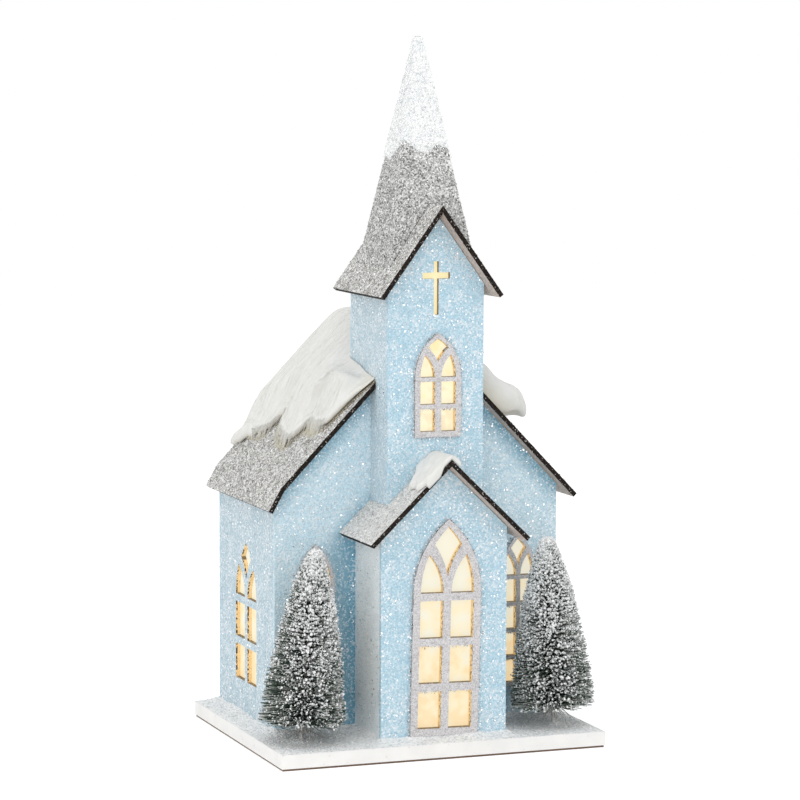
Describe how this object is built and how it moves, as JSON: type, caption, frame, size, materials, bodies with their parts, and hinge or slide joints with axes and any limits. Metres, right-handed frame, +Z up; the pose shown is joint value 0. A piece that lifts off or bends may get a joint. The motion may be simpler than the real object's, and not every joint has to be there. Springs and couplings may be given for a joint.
{
  "type": "church figurine",
  "caption": "Lit tabletop church of glittered board with a gabled nave, porch, tower and spire, on a base with two bottle-brush trees.",
  "frame": {"origin": "centre of the base's underside, on the surface that it stands on", "axes": "+Z up the spire, -Y out of the porch door, +X to the right seen from the front"},
  "size_m": [0.1853, 0.154, 0.38],
  "materials": {
    "brown_board": "raw brown chipboard",
    "white_board": "white painted board with a snow coat",
    "blue_glitter_board": "light blue board under coarse clear glitter",
    "silver_glitter_board": "grey board under silver glitter, burnt edges",
    "snow_batting": "white cotton batting",
    "white_flock": "white flock and fine glitter",
    "cream_paper": "translucent cream paper lit from behind",
    "stem_wire": "twisted wire with flock",
    "green_bristle": "dark green bristle tipped with white flock",
    "white_plastic": "moulded white plastic",
    "black_plastic": "moulded black plastic",
    "plated_steel": "nickel plated",
    "cell_can": "plain wrapped cell",
    "lead_sheath": "white sheathed lead",
    "lamp": "warm white lamp body"
  },
  "bodies": {
    "church": {"bottom_board": "brown_board", "base_board": "white_board", "nave_front_wall": "blue_glitter_board", "nave_back_wall": "blue_glitter_board", "nave_left_wall": "blue_glitter_board", "nave_right_wall": "blue_glitter_board", "nave_roof_left": "silver_glitter_board", "nave_roof_right": "silver_glitter_board", "nave_roof_snow": "snow_batting", "nave_front_film_left": "cream_paper", "nave_front_film_right": "cream_paper", "nave_side_film_left": "cream_paper", "nave_side_film_right": "cream_paper", "nave_window_frame_left": "silver_glitter_board", "nave_window_frame_right": "silver_glitter_board", "tower_front_wall": "blue_glitter_board", "tower_back_wall": "blue_glitter_board", "tower_left_wall": "blue_glitter_board", "tower_right_wall": "blue_glitter_board", "tower_roof_left": "silver_glitter_board", "tower_roof_right": "silver_glitter_board", "tower_window_frame": "silver_glitter_board", "tower_film": "cream_paper", "spire": "silver_glitter_board", "spire_snow": "white_flock", "porch_front_wall": "blue_glitter_board", "porch_left_wall": "blue_glitter_board", "porch_right_wall": "blue_glitter_board", "porch_roof_left": "silver_glitter_board", "porch_roof_right": "silver_glitter_board", "porch_roof_snow": "snow_batting", "porch_window_frame": "silver_glitter_board", "porch_film": "cream_paper", "tree_left_stem": "stem_wire", "tree_left_bristles": "green_bristle", "tree_right_stem": "stem_wire", "tree_right_bristles": "green_bristle", "battery_box": "white_plastic", "battery_1": "cell_can", "battery_2": "cell_can", "battery_3": "cell_can", "contact_negative": "plated_steel", "contact_link_left": "plated_steel", "contact_link_right": "plated_steel", "contact_positive": "plated_steel", "switch_body": "plated_steel", "box_screw_front": "plated_steel", "box_screw_back": "plated_steel", "led_cable": "lead_sheath", "led_nave": "lamp", "led_porch": "lamp", "led_tower": "lamp"},
    "battery_door": {"battery_door": "white_plastic"},
    "switch_slider": {"switch_slider": "black_plastic"}
  },
  "joints": [
    {"name": "battery_door_hinge", "type": "hinge", "parent": "church", "child": "battery_door", "pos_m": [-0.0278, 0.024, 0.0014], "axis": [0, 1, 0], "range_deg": [0, 100]},
    {"name": "switch_slide", "type": "slide", "parent": "church", "child": "switch_slider", "axis": [1, 0, 0], "range_m": [0, 0.003]}
  ]
}
